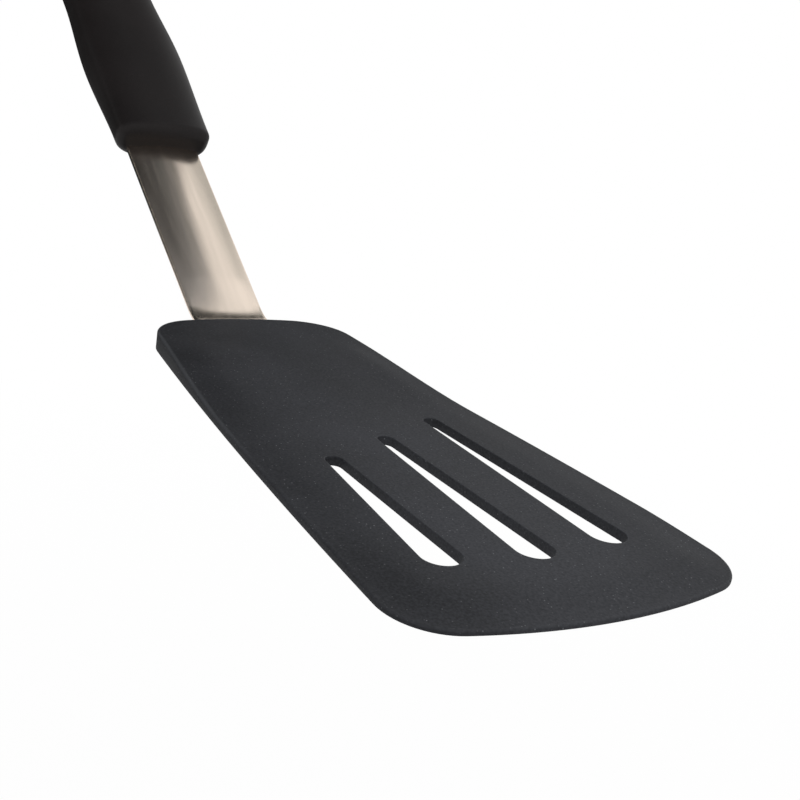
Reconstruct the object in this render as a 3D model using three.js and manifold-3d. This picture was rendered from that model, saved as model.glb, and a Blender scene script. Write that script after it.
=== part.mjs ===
// Omelette turner: a slotted silicone blade on a steel core, a crowned steel neck and a soft-grip handle.
// Millimetres, +Z up, +X towards the blade's front edge. The origin lies on the blade's flat underside.
import * as THREE from 'three';
import { mergeVertices } from 'three/addons/utils/BufferGeometryUtils.js';
import Module from 'manifold-3d';

// Blade outline, seen from above
const BLADE_LENGTH = 152.4; // back edge to the crest of the front edge
const SHOULDER_WIDTH = 49.4; // between the side lines, carried back to the back edge
const FRONT_WIDTH = 74.1; // between the side lines, carried forward to the front crest
const SIDE_BOW = 1.85; // swell of each side past a straight line
const FRONT_EDGE_RADIUS = 115;
const FRONT_CORNER_RADIUS = 12.2;
const BACK_EDGE_RADIUS = 97;
const BACK_CORNER_RADIUS = 14.5;
const REST_SETBACK = 36; // back edge to the resting point under the blade, which is the origin

// Blade thickness: a thick heel over the neck's foot, a web round the slots and thin edges
const SKIN_THICKNESS = 0.6; // silicone under the core, and over it round the slots
const FOOT_COVER = 1.25; // silicone over the neck's foot
const SIDE_RIM = 1.75; // height of the side edges ahead of the heel
const LIP_THICKNESS = 0.95; // height of the front edge
const SIDE_BEVEL = 9; // width of the slope inside a side edge
const LIP_BEVEL = 12; // width of the slope behind the front edge
const HEEL_FADE = 38; // length over which the heel thins to the web
const RIM_FADE = 55; // length over which the side edges thin

// Slots: tapering, in a fan, each starting a step behind its neighbour
const SLOT_BACK_RADIUS = 1.9;
const SLOT_FRONT_RADIUS = 3.9;
const SLOT_LENGTH = 50.8; // between the end centres of the middle slot
const SLOT_STAGGER = 8.4; // change of length from one slot to the next
const SLOT_LIP = 22.25; // front edge to the slots' front end centres
const SLOT_BAND = 13.9; // blade outside the outer slots, at their front ends
const SLOT_BACK_PITCH = 16.8; // between the back end centres, across the blade
const SLOT_SHIFT = -0.5; // of the three together, to the left

// Core plate
const CORE_THICKNESS = 0.7;
const CORE_SIDE_INSET = 7; // from the blade's side to the core's
const CORE_BACK_INSET = 5;
const CORE_FRONT_INSET = 11;
const SLOT_WALL = 1.1; // silicone round each slot
const LOCK_RADIUS = 2.5; // holes that the silicone runs through
const LOCK_EDGE = 5; // from the core's side to a lock hole's centre
const LOCK_SETBACKS = [18, 48]; // back edge to each pair of lock holes

// Neck strap
const NECK_THICKNESS = 1.5;
const NECK_FOOT_WIDTH = 20.6;
const NECK_TOP_WIDTH = 21.9;
const NECK_LENGTH = 74.2; // along the strap, from the blade's back edge to the handle
const NECK_RISE = THREE.MathUtils.degToRad(29.6);
const NECK_LEAD = 2; // straight run behind the blade before the bend
const BEND_RADIUS = 9;
const CROWN = 1; // rise of the strap's middle over its edges
const FOOT_LENGTH = 26; // inside the blade
const TANG_LENGTH = 74; // inside the handle
const TANG_WIDTH = 14;
const TANG_TAPER = 8; // length over which the strap narrows to the tang
const TANG_HOLE_RADIUS = 2.6;
const TANG_HOLES = [28, 56]; // from the handle's end to each lock hole

// Handle
const HANDLE_LENGTH = 116;
const HANDLE_LIFT = 3.8; // the handle's widest line over the strap's path
const CREST_SHARE = 0.38; // share of the handle's depth over its widest line
const COLLAR_MARGIN = 3.35; // grip on each side of the strap at the collar
const COLLAR_DEPTH = 12.6;
const PALM_WIDTH = 30.4;
const PALM_DEPTH = 17.5;
const PALM_AT = 40;
const WAIST_WIDTH = 28;
const WAIST_DEPTH = 16;
const WAIST_AT = 74;
const TAIL_WIDTH = 30;
const TAIL_DEPTH = 13.5;
const TAIL_ROUND = 17; // length of the rounded end, seen from above
const TAIL_NOSE = 7; // length of the rounded end, seen from the side
const RIM_RADIUS = 2.6; // rounding of the collar's edge
const GRIP_WALL = 2;
const GRIP_END_WALL = 4.5;
const SQUARENESS = 3; // exponent of the oval sections: 2 is an ellipse
const HOLE_LENGTH = 20;
const HOLE_WIDTH = 9;
const HOLE_SETBACK = 18.5; // tail end to the middle of the hanging hole
const HOLE_LINING = 2.2; // grip round the hanging hole

// Clearances between moulded-in neighbours
const SIDE_CLEARANCE = 0.3;
const FACE_CLEARANCE = 0.1;

// Facets
const ARC_STEPS = 10;
const SIDE_STEPS = 22;
const GRIP_SIDES = 40;
const CORE_SIDES = 28;
const STRAP_STEPS = 10;
const BEVEL_SHARES = [0, 0.02, 0.06, 0.12, 0.19, 0.27, 0.36, 0.48, 0.7, 1]; // rings from rim to spine
const CUT_REACH = 40; // how far a through cut runs past what it cuts
const TOUCH = 1e-6; // points nearer than this are one point

// Heights of the layers in the blade
const coreBottom = SKIN_THICKNESS + FACE_CLEARANCE;
const coreTop = coreBottom + CORE_THICKNESS;
const footBottom = coreTop + FACE_CLEARANCE;
const strapLevel = footBottom + NECK_THICKNESS / 2;
const webThickness = coreTop + FACE_CLEARANCE + SKIN_THICKNESS;
const heelThickness = footBottom + NECK_THICKNESS + FACE_CLEARANCE + FOOT_COVER;
const heelLength = FOOT_LENGTH + SIDE_CLEARANCE;

const { smoothstep, lerp, clamp } = THREE.MathUtils;
const wasm = await Module();
wasm.setup();

// Solids

// Read a closed geometry as a solid for cutting.
function solid(geometry) {
  const bare = geometry.clone();
  bare.deleteAttribute('normal');
  bare.deleteAttribute('uv');
  const merged = mergeVertices(bare);
  const vertProperties = new Float32Array(merged.attributes.position.array);
  const triVerts = new Uint32Array(merged.index.array);
  return new wasm.Manifold(new wasm.Mesh({ numProp: 3, vertProperties, triVerts }));
}

// Turn a cut solid back into a geometry.
function geometryOf(body) {
  const { vertProperties, triVerts } = body.getMesh();
  const geometry = new THREE.BufferGeometry();
  geometry.setAttribute('position', new THREE.BufferAttribute(vertProperties, 3));
  geometry.setIndex(new THREE.BufferAttribute(triVerts, 1));
  return geometry;
}

// Cut every tool out of a body.
function cut(body, tools) {
  return tools.reduce((rest, tool) => rest.subtract(tool), body);
}

// Build a geometry from points and triangles, with its faces turned outwards.
function shell(points, triangles) {
  const corner = (index) => points[index];
  const volume = triangles.reduce(
    (sum, [a, b, c]) => sum + corner(a).dot(new THREE.Vector3().crossVectors(corner(b), corner(c))), 0);
  const facing = volume < 0 ? triangles.map(([a, b, c]) => [a, c, b]) : triangles;
  const geometry = new THREE.BufferGeometry().setFromPoints(points);
  geometry.setIndex(facing.flat());
  return geometry;
}

// Skin a closed tube through matching outlines, one per station, and close both ends.
function loft(stations) {
  const count = stations[0].profile.length;
  const points = stations.flatMap(({ profile, place }) => profile.map(place));
  const triangles = [];
  for (let ring = 0; ring + 1 < stations.length; ring += 1) {
    for (let side = 0; side < count; side += 1) {
      const near = ring * count + side;
      const next = ring * count + ((side + 1) % count);
      triangles.push([near, next, next + count], [near, next + count, near + count]);
    }
  }
  const last = (stations.length - 1) * count;
  const [first, end] = [stations[0], stations.at(-1)].map(
    ({ profile }) => THREE.ShapeUtils.triangulateShape(profile, []));
  triangles.push(...first.map(([a, b, c]) => [a, c, b]));
  triangles.push(...end.map((face) => face.map((index) => last + index)));
  return shell(points, triangles);
}

// Extrude a shape upwards from one height to another.
function plate(shape, bottom, top) {
  const geometry = new THREE.ExtrudeGeometry(shape, {
    depth: top - bottom, bevelEnabled: false, curveSegments: ARC_STEPS,
  });
  return geometry.translate(0, 0, bottom);
}

// An upright round bar, centred on its place.
function bar(radius, x, y, z) {
  const round = new THREE.CylinderGeometry(radius, radius, CUT_REACH, 2 * ARC_STEPS);
  return round.rotateX(Math.PI / 2).translate(x, y, z);
}

// Evenly spaced values from one number to another, both included.
function spread(from, to, steps) {
  return Array.from({ length: steps + 1 }, (_, step) => lerp(from, to, step / steps));
}

// Blade

// Half the blade's width at a distance from the back edge.
function halfWidth(x) {
  const along = x / BLADE_LENGTH;
  return lerp(SHOULDER_WIDTH, FRONT_WIDTH, along) / 2 + 4 * SIDE_BOW * along * (1 - along);
}

// Slope of the side line there.
function sideSlope(x) {
  const along = x / BLADE_LENGTH;
  return ((FRONT_WIDTH - SHOULDER_WIDTH) / 2 + 4 * SIDE_BOW * (1 - 2 * along)) / BLADE_LENGTH;
}

// Centre of a corner arc: it touches the side line at x, from inside.
function cornerCentre(x, inset, radius) {
  const inward = new THREE.Vector2(sideSlope(x), -1).normalize();
  return new THREE.Vector2(x, halfWidth(x)).addScaledVector(inward, inset + radius);
}

// Where along the side a corner arc also touches an end arc, found by halving the range.
function cornerTouch(nearEnd, middle, inset, radius, endCentre, endRadius) {
  let [outside, inside] = [nearEnd, middle];
  for (let pass = 0; pass < 40; pass += 1) {
    const x = (outside + inside) / 2;
    const reach = cornerCentre(x, inset, radius).distanceTo(endCentre);
    if (reach > endRadius - radius) outside = x;
    else inside = x;
  }
  return inside;
}

// Points on an arc from one angle to another.
function arc(centre, radius, from, to, steps) {
  return spread(from, to, steps).map(
    (angle) => new THREE.Vector2(Math.cos(angle), Math.sin(angle)).multiplyScalar(radius).add(centre));
}

// The blade's outline drawn in by an inset at the back, the sides and the front.
function bladeOutline(back, side, front) {
  const backCentre = new THREE.Vector2(BACK_EDGE_RADIUS, 0);
  const frontCentre = new THREE.Vector2(BLADE_LENGTH - FRONT_EDGE_RADIUS, 0);
  const backRadius = BACK_EDGE_RADIUS - back;
  const frontRadius = FRONT_EDGE_RADIUS - front;
  const backCorner = Math.max(BACK_CORNER_RADIUS - side, BACK_CORNER_RADIUS / 3);
  const frontCorner = Math.max(FRONT_CORNER_RADIUS - side, FRONT_CORNER_RADIUS / 3);
  const middle = BLADE_LENGTH / 2;
  const backX = cornerTouch(0, middle, side, backCorner, backCentre, backRadius);
  const frontX = cornerTouch(BLADE_LENGTH, middle, side, frontCorner, frontCentre, frontRadius);
  const heel = cornerCentre(backX, side, backCorner);
  const toe = cornerCentre(frontX, side, frontCorner);
  const heelTurn = heel.clone().sub(backCentre).angle();
  const toeTurn = toe.clone().sub(frontCentre).angle();
  const sideTurn = (x) => Math.PI / 2 + Math.atan(sideSlope(x));
  const sideLine = spread(backX, frontX, SIDE_STEPS).map((x) => cornerCentre(x, side, 0));
  const half = [
    ...arc(backCentre, backRadius, Math.PI, heelTurn, ARC_STEPS),
    ...arc(heel, backCorner, heelTurn, sideTurn(backX), ARC_STEPS).slice(1, -1),
    ...sideLine,
    ...arc(toe, frontCorner, sideTurn(frontX), toeTurn, ARC_STEPS).slice(1, -1),
    ...arc(frontCentre, frontRadius, toeTurn, 0, ARC_STEPS),
  ];
  half.at(0).y = 0;
  half.at(-1).y = 0;
  const mirrored = half.slice(1, -1).reverse().map(({ x, y }) => new THREE.Vector2(x, -y));
  return [...half, ...mirrored].reverse();
}

// Height of the blade's edge, and the width of the slope inside it, at a point on the outline.
function rim(x) {
  const lipStart = BLADE_LENGTH - SLOT_LIP - LIP_BEVEL;
  const lipEnd = BLADE_LENGTH - FRONT_CORNER_RADIUS / 2;
  const towardsSide = smoothstep(x, BACK_CORNER_RADIUS, BACK_CORNER_RADIUS + RIM_FADE);
  const towardsLip = smoothstep(x, lipStart, lipEnd);
  const side = lerp(heelThickness, SIDE_RIM, towardsSide);
  return { height: lerp(side, LIP_THICKNESS, towardsLip), slope: lerp(SIDE_BEVEL, LIP_BEVEL, towardsLip) };
}

// Height of the blade's top away from its edges.
function crest(x) {
  return lerp(heelThickness, webThickness, smoothstep(x, heelLength, heelLength + HEEL_FADE));
}

// The blade before its cuts: flat below, and above it rises from its rim to its crest.
function bladeBlank() {
  const outline = bladeOutline(0, 0, 0);
  const count = outline.length;
  const points = outline.map(({ x, y }) => new THREE.Vector3(x, y, 0));
  for (const share of BEVEL_SHARES) {
    for (const { x, y } of outline) {
      const spineX = clamp(x, SHOULDER_WIDTH / 2, BLADE_LENGTH - FRONT_WIDTH / 2);
      const edge = rim(x);
      const place = new THREE.Vector2(x, y).lerp(new THREE.Vector2(spineX, 0), share);
      const depth = share * Math.hypot(x - spineX, y);
      place.y = share === 1 ? 0 : place.y;
      const height = lerp(edge.height, crest(place.x), smoothstep(depth, 0, edge.slope));
      points.push(new THREE.Vector3(place.x, place.y, height));
    }
  }
  const triangles = THREE.ShapeUtils.triangulateShape(outline, []).map(([a, b, c]) => [a, c, b]);
  for (let ring = 0; ring < BEVEL_SHARES.length; ring += 1) {
    for (let side = 0; side < count; side += 1) {
      const near = ring * count + side;
      const next = ring * count + ((side + 1) % count);
      triangles.push([near, next, next + count]);
      triangles.push([near, next + count, near + count]);
    }
  }
  const apart = ([a, b, c]) => [[a, b], [b, c], [c, a]].every(
    ([from, to]) => points[from].distanceTo(points[to]) > TOUCH);
  return shell(points, triangles.filter(apart));
}

// Slots: the middle one is number 0, the ones beside it are -1 and 1.
const slotNumbers = [-1, 0, 1];

// A slot outline, grown all round: two end arcs joined by tangents. The front ends follow the front edge.
function slotPath(number, grow, PathClass) {
  const crestX = BLADE_LENGTH - SLOT_LIP;
  const frontY = number * (halfWidth(crestX) - SLOT_BAND - SLOT_FRONT_RADIUS);
  const frontReach = FRONT_EDGE_RADIUS - SLOT_LIP;
  const frontX = crestX - frontReach + Math.sqrt(frontReach ** 2 - frontY ** 2);
  const front = new THREE.Vector2(frontX, frontY + SLOT_SHIFT);
  const backX = crestX - SLOT_LENGTH - number * SLOT_STAGGER;
  const back = new THREE.Vector2(backX, number * SLOT_BACK_PITCH + SLOT_SHIFT);
  const axis = front.clone().sub(back);
  const turn = axis.angle();
  const tangent = Math.acos((SLOT_BACK_RADIUS - SLOT_FRONT_RADIUS) / axis.length());
  const path = new PathClass();
  path.absarc(front.x, front.y, SLOT_FRONT_RADIUS + grow, turn - tangent, turn + tangent, false);
  path.absarc(back.x, back.y, SLOT_BACK_RADIUS + grow, turn + tangent, turn - tangent + 2 * Math.PI, false);
  path.closePath();
  return path;
}

// Places of the lock holes, in pairs.
const lockPlaces = LOCK_SETBACKS.flatMap((x) => {
  const y = halfWidth(x) - CORE_SIDE_INSET - LOCK_EDGE;
  return [new THREE.Vector2(x, y), new THREE.Vector2(x, -y)];
});

// The core's outline with its slot windows and lock holes, grown all round by a clearance.
function corePlan(grow) {
  const plan = new THREE.Shape(
    bladeOutline(CORE_BACK_INSET - grow, CORE_SIDE_INSET - grow, CORE_FRONT_INSET - grow));
  for (const number of slotNumbers) {
    plan.holes.push(slotPath(number, SLOT_WALL + SIDE_CLEARANCE - grow, THREE.Path));
  }
  for (const { x, y } of lockPlaces) {
    plan.holes.push(new THREE.Path().absarc(x, y, LOCK_RADIUS - grow, 0, 2 * Math.PI, false));
  }
  return plan;
}

// Neck

// The strap's middle line, by distance from the blade's back edge: flat foot, bend and straight rise.
function onNeck(distance) {
  const turned = clamp((distance - NECK_LEAD) / BEND_RADIUS, 0, NECK_RISE);
  const risen = Math.max(distance - NECK_LEAD - BEND_RADIUS * NECK_RISE, 0);
  const x = -Math.min(distance, NECK_LEAD) - BEND_RADIUS * Math.sin(turned) - risen * Math.cos(turned);
  const z = strapLevel + BEND_RADIUS * (1 - Math.cos(turned)) + risen * Math.sin(turned);
  return { x, z, turned };
}

// The same line seen from the handle, where it is straight and ends at the collar.
function inHandle(distance) {
  return { x: NECK_LENGTH - distance, z: 0, turned: 0 };
}

// Width of the strap: nearly even along the neck, then narrower in the handle.
function strapWidth(distance) {
  const visible = lerp(NECK_FOOT_WIDTH, NECK_TOP_WIDTH, clamp(distance / NECK_LENGTH, 0, 1));
  return lerp(visible, TANG_WIDTH, smoothstep(distance, NECK_LENGTH, NECK_LENGTH + TANG_TAPER));
}

// One outline across the strap: crowned above and hollow below, flat in the foot.
function strapStation(distance, grow, route) {
  const half = strapWidth(distance) / 2 + grow;
  const crown = CROWN * smoothstep(distance, NECK_LEAD, NECK_LEAD + 2 * BEND_RADIUS);
  const bow = (y) => crown * (1 - (y / half) ** 2);
  const across = spread(-half, half, STRAP_STEPS);
  const thick = NECK_THICKNESS / 2 + grow;
  const below = across.map((y) => new THREE.Vector2(y, bow(y) - thick));
  const above = across.map((y) => new THREE.Vector2(y, bow(y) + thick)).reverse();
  const { x, z, turned } = route(distance);
  const place = (point) => new THREE.Vector3(
    x + point.y * Math.sin(turned), point.x, z + point.y * Math.cos(turned));
  return { profile: [...below, ...above], place };
}

// The strap between two distances, grown by a clearance.
function strap(from, to, grow, route) {
  const bendEnd = NECK_LEAD + BEND_RADIUS * NECK_RISE;
  const crowned = NECK_LEAD + 2 * BEND_RADIUS;
  const marks = [
    from, 0, ...spread(NECK_LEAD, bendEnd, ARC_STEPS), ...spread(bendEnd, crowned, ARC_STEPS / 2),
    ...spread(NECK_LENGTH, NECK_LENGTH + TANG_TAPER, ARC_STEPS / 2), to,
  ];
  const inside = [...new Set(marks)].filter((mark) => mark >= from && mark <= to).sort((a, b) => a - b);
  return loft(inside.map((distance) => strapStation(distance, grow, route)));
}

// Handle, drawn along -X from its collar, with the strap's line on the X axis

// How far the grip reaches beside, over and under its middle, at a distance from the collar, less an inset.
function gripSize(distance, inset) {
  const collarWidth = NECK_TOP_WIDTH + 2 * COLLAR_MARGIN;
  const knots = [
    [0, collarWidth, COLLAR_DEPTH],
    [PALM_AT, PALM_WIDTH, PALM_DEPTH],
    [WAIST_AT, WAIST_WIDTH, WAIST_DEPTH],
    [HANDLE_LENGTH - TAIL_ROUND, TAIL_WIDTH, TAIL_DEPTH],
    [HANDLE_LENGTH, TAIL_WIDTH, TAIL_DEPTH],
  ];
  const next = clamp(knots.findIndex(([at]) => at > distance), 1, knots.length - 1);
  const [start, end] = [knots[next - 1], knots[next]];
  const blend = smoothstep(distance, start[0], end[0]);
  const close = (length) => {
    const into = clamp((distance - HANDLE_LENGTH + length) / (length - inset), 0, 1);
    return Math.sqrt(1 - into ** 2);
  };
  const width = lerp(start[1], end[1], blend);
  const depth = lerp(start[2], end[2], blend);
  return {
    side: (width / 2 - inset) * close(TAIL_ROUND),
    over: (CREST_SHARE * depth - inset) * close(TAIL_NOSE),
    under: ((1 - CREST_SHARE) * depth - inset) * close(TAIL_NOSE),
  };
}

// One oval section of the handle, pinched by the collar's rounding.
function gripStation(distance, inset, pinch, sides) {
  const { side, over, under } = gripSize(distance, inset);
  const power = (value) => Math.sign(value) * Math.abs(value) ** (2 / SQUARENESS);
  const profile = Array.from({ length: sides }, (_, step) => {
    const angle = (2 * Math.PI * step) / sides;
    const reach = Math.sin(angle) < 0 ? under : over;
    const y = (side - pinch) * power(Math.cos(angle));
    return new THREE.Vector2(y, (reach - pinch) * power(Math.sin(angle)));
  });
  return { profile, place: (point) => new THREE.Vector3(-distance, point.x, HANDLE_LIFT + point.y) };
}

// Stations along the tail: even along the body, then closer as the end rounds off.
function tailStations(from, inset) {
  const end = HANDLE_LENGTH - inset;
  const bodyEnd = HANDLE_LENGTH - TAIL_ROUND;
  const turns = spread(0, 0.95 * Math.PI / 2, ARC_STEPS);
  const round = turns.map((turn) => bodyEnd + (end - bodyEnd) * Math.sin(turn));
  return [...spread(from, bodyEnd, 2 * ARC_STEPS).slice(0, -1), ...round];
}

// The grip's outer form: rounded collar edge, body and tail.
function gripForm() {
  const rounding = spread(0, Math.PI / 2, ARC_STEPS / 2).map((turn) => ({
    distance: RIM_RADIUS * (1 - Math.sin(turn)), pinch: RIM_RADIUS * (1 - Math.cos(turn)),
  })).reverse();
  const edge = rounding.map(({ distance, pinch }) => gripStation(distance, 0, pinch, GRIP_SIDES));
  const along = tailStations(RIM_RADIUS, 0).slice(1);
  const body = along.map((distance) => gripStation(distance, 0, 0, GRIP_SIDES));
  return loft([...edge, ...body]);
}

// The hard core's form, grown by a clearance.
function handleCoreForm(grow) {
  const stations = tailStations(GRIP_END_WALL - grow, GRIP_WALL - grow);
  return loft(stations.map((distance) => gripStation(distance, GRIP_WALL - grow, 0, CORE_SIDES)));
}

// The hanging hole as an upright oblong bar, grown all round.
function hangingBar(grow) {
  const radius = HOLE_WIDTH / 2 + grow;
  const reach = (HOLE_LENGTH - HOLE_WIDTH) / 2;
  const middle = HOLE_SETBACK - HANDLE_LENGTH;
  const shape = new THREE.Shape();
  shape.absarc(middle + reach, 0, radius, -Math.PI / 2, Math.PI / 2, false);
  shape.absarc(middle - reach, 0, radius, Math.PI / 2, 1.5 * Math.PI, false);
  shape.closePath();
  return solid(plate(shape, -CUT_REACH, CUT_REACH));
}

// Tang with its lock holes, grown by a clearance, as the hard core is moulded round it
function tangCutter(grow) {
  const body = solid(strap(NECK_LENGTH - CUT_REACH, NECK_LENGTH + TANG_LENGTH + grow, grow, inHandle));
  return cut(body, TANG_HOLES.map((at) => solid(bar(TANG_HOLE_RADIUS - grow, -at, 0, 0))));
}

// Materials

function finish(color, roughness, metalness) {
  return new THREE.MeshStandardMaterial({ color, roughness, metalness });
}

const silicone = finish(0x2b2b2f, 0.75, 0);
const springSteel = finish(0xb4b1ab, 0.35, 1);
const brushedSteel = finish(0xbfb5a8, 0.4, 1);
const hardPlastic = finish(0x1d1d1e, 0.5, 0);
const softGrip = finish(0x161617, 0.6, 0);

// Pieces

function piece(name, geometry, material) {
  const mesh = new THREE.Mesh(geometry, material);
  mesh.name = name;
  return mesh;
}

function siliconeBlade() {
  const slots = slotNumbers.map(
    (number) => solid(plate(slotPath(number, 0, THREE.Shape), -CUT_REACH, CUT_REACH)));
  const corePocket = solid(
    plate(corePlan(SIDE_CLEARANCE), coreBottom - FACE_CLEARANCE, coreTop + FACE_CLEARANCE));
  const footPocket = solid(strap(-FOOT_LENGTH - SIDE_CLEARANCE, NECK_LEAD, FACE_CLEARANCE, onNeck));
  return cut(solid(bladeBlank()), [...slots, corePocket, footPocket]);
}

function neckStrap() {
  const body = solid(strap(-FOOT_LENGTH, NECK_LENGTH + TANG_LENGTH, 0, onNeck));
  const holes = TANG_HOLES.map((at) => {
    const { x, z, turned } = onNeck(NECK_LENGTH + at);
    return solid(bar(TANG_HOLE_RADIUS, 0, 0, 0).rotateY(turned).translate(x, 0, z));
  });
  return cut(body, holes);
}

function handleCore() {
  const hole = hangingBar(HOLE_LINING);
  return cut(solid(handleCoreForm(0)), [tangCutter(SIDE_CLEARANCE), hole]);
}

function grip() {
  const lining = hangingBar(HOLE_LINING - SIDE_CLEARANCE);
  const pocket = solid(handleCoreForm(SIDE_CLEARANCE)).subtract(lining);
  const wallEnd = NECK_LENGTH + GRIP_END_WALL;
  const neckWay = solid(strap(NECK_LENGTH - CUT_REACH, wallEnd, SIDE_CLEARANCE, inHandle));
  return cut(solid(gripForm()), [pocket, neckWay, hangingBar(0)]);
}

// Assembly: the blade lies on its underside, and the handle hangs on the end of the neck.
const handle = new THREE.Group();
const collar = onNeck(NECK_LENGTH);
handle.position.set(collar.x, 0, collar.z);
handle.rotation.y = NECK_RISE;
handle.add(
  piece('handle_core', geometryOf(handleCore()), hardPlastic),
  piece('grip', geometryOf(grip()), softGrip),
);

const turner = new THREE.Group();
turner.position.x = -REST_SETBACK;
turner.add(
  piece('silicone_blade', geometryOf(siliconeBlade()), silicone),
  piece('blade_core', plate(corePlan(0), coreBottom, coreTop), springSteel),
  piece('neck', geometryOf(neckStrap()), brushedSteel),
  handle,
);

export default turner;
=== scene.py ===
"""Omelette turner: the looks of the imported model, in a plain white studio.

Lengths in the classes are millimetres, as on a drawing. Meshes are written in metres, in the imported
model's frame: +X towards the blade's front edge, +Z up, the origin on the blade's flat underside.
"""
from __future__ import annotations

import logging
import math
from dataclasses import dataclass
from enum import Enum
from typing import Any

import bmesh
import bpy
import numpy as np
from mathutils import Matrix, Vector
from mathutils.geometry import delaunay_2d_cdt
from numpy.typing import NDArray

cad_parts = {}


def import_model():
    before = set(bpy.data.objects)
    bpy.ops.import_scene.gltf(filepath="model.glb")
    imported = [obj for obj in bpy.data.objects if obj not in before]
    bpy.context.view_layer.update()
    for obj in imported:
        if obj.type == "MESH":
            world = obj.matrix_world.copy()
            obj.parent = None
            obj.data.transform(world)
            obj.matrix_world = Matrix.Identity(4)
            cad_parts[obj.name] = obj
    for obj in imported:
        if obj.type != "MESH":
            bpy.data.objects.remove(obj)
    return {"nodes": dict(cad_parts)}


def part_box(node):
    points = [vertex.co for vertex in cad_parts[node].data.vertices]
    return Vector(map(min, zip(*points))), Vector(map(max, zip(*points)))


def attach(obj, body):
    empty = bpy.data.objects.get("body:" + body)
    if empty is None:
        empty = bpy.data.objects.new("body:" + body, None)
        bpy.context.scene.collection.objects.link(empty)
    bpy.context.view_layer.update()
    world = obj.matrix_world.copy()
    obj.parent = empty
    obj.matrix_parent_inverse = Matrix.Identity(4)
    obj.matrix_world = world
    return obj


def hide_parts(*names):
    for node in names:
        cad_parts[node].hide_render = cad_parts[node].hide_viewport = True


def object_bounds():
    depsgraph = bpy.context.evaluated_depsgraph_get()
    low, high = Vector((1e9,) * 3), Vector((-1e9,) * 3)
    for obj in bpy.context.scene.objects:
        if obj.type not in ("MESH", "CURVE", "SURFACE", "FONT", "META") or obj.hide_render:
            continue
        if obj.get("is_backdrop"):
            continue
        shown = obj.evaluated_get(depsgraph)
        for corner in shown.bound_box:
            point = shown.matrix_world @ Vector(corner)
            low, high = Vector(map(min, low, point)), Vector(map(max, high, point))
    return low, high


Points = NDArray[np.float64]
Faces = NDArray[np.int64]
Mask = NDArray[np.bool_]
Span = tuple[float, float]
Spot = tuple[float, float, float]
Piece = bpy.types.Object
Material = bpy.types.Material
Socket = bpy.types.NodeSocket

LOG = logging.getLogger("turner")
BODY = "root"
MM = 0.001
WELD = 2e-6  # metres; points closer than this are one point
HAIR = 1e-9  # keeps a division or a root off zero
QUARTER = math.pi / 2
SQUARE = np.array([(-1, -1, 0), (1, -1, 0), (1, 1, 0), (-1, 1, 0)])
LATTICE_GAP = 0.6  # a lattice point keeps this share of the spacing from a loop
CHART = "chart"  # name of the flat coordinates
WHITE = "#ffffff"
NOISE_SPAN = (0.3, 0.7)  # most of a noise's values lie between these
SOFT_DETAIL = 3.0  # octaves of the soft noises
PLAIN_DETAIL = 2.0


# Curves and sheets


def lerp(start: Any, end: Any, share: Any) -> Any:
    """Go a share of the way from start to end."""
    return start + (end - start) * share


def smoothstep(value: Any, low: float, high: float) -> Any:
    """Rise from 0 at low to 1 at high as 3 s squared less 2 s cubed, level at both ends."""
    share = np.clip((value - low) / (high - low), 0.0, 1.0)
    return share * share * (3.0 - 2.0 * share)


def arc(centre: Points, radius: float, start: float, end: float, steps: int) -> Points:
    """Points of a circle's arc: the centre plus the radius times (cos, sin) of even angles.

    Args:
        centre: The circle's centre.
        radius: Its radius.
        start: First angle, in radians.
        end: Last angle.
        steps: Number of chords.

    Returns:
        An array of steps + 1 points.
    """
    turn = np.linspace(start, end, steps + 1)
    return np.asarray(centre) + radius * np.stack([np.cos(turn), np.sin(turn)], axis=1)


def even_loop(loop: Points, spacing: float) -> Points:
    """Walk round a closed loop and put points on it at even distances.

    Args:
        loop: The loop's corners, in order.
        spacing: Distance from point to point, about.

    Returns:
        The evenly spaced points, starting at the first corner.
    """
    closed = np.vstack([loop, loop[:1]])
    walked = np.concatenate([[0.0], np.cumsum(np.linalg.norm(np.diff(closed, axis=0), axis=1))])
    marks = np.linspace(0.0, walked[-1], int(round(walked[-1] / spacing)), endpoint=False)
    return np.stack([np.interp(marks, walked, closed[:, axis]) for axis in (0, 1)], axis=1)


def left_normals(loop: Points) -> Points:
    """Unit vectors on a closed loop's left: the chord between both neighbours, turned a quarter."""
    chord = np.roll(loop, -1, axis=0) - np.roll(loop, 1, axis=0)
    return np.stack([-chord[:, 1], chord[:, 0]], axis=1) / np.linalg.norm(chord, axis=1, keepdims=True)


def nearest_on(loop: Points, places: Points) -> tuple[Points, Points]:
    """Find each place's nearest point on a closed loop.

    Each place is dropped square onto every chord of the loop, held between the chord's ends, and the
    shortest drop wins.

    Args:
        loop: The loop's points.
        places: The places to measure, one per row.

    Returns:
        The distances and the nearest points.
    """
    chord = np.roll(loop, -1, axis=0) - loop
    share = ((places[:, None] - loop) * chord).sum(-1) / (chord * chord).sum(-1)
    foot = loop + np.clip(share, 0.0, 1.0)[..., None] * chord
    gap = np.linalg.norm(places[:, None] - foot, axis=-1)
    best = gap.argmin(axis=1)
    rows = np.arange(len(places))
    return gap[rows, best], foot[rows, best]


def inside(loops: list[Points], places: Points) -> Mask:
    """Tell which places lie inside an odd number of loops, by counting the chords to their right.

    Args:
        loops: Closed loops.
        places: The places to test, one per row.

    Returns:
        One truth value per place.
    """
    across, along = places[:, :1], places[:, 1:]
    crossings = np.zeros(len(places), dtype=int)
    for loop in loops:
        after = np.roll(loop, -1, axis=0)
        spans = (loop[:, 1] > along) != (after[:, 1] > along)
        rise = np.where(spans, after[:, 1] - loop[:, 1], 1.0)
        meet = loop[:, 0] + (along - loop[:, 1]) * (after[:, 0] - loop[:, 0]) / rise
        crossings += (spans & (across < meet)).sum(axis=1)
    return crossings % 2 == 1


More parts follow.
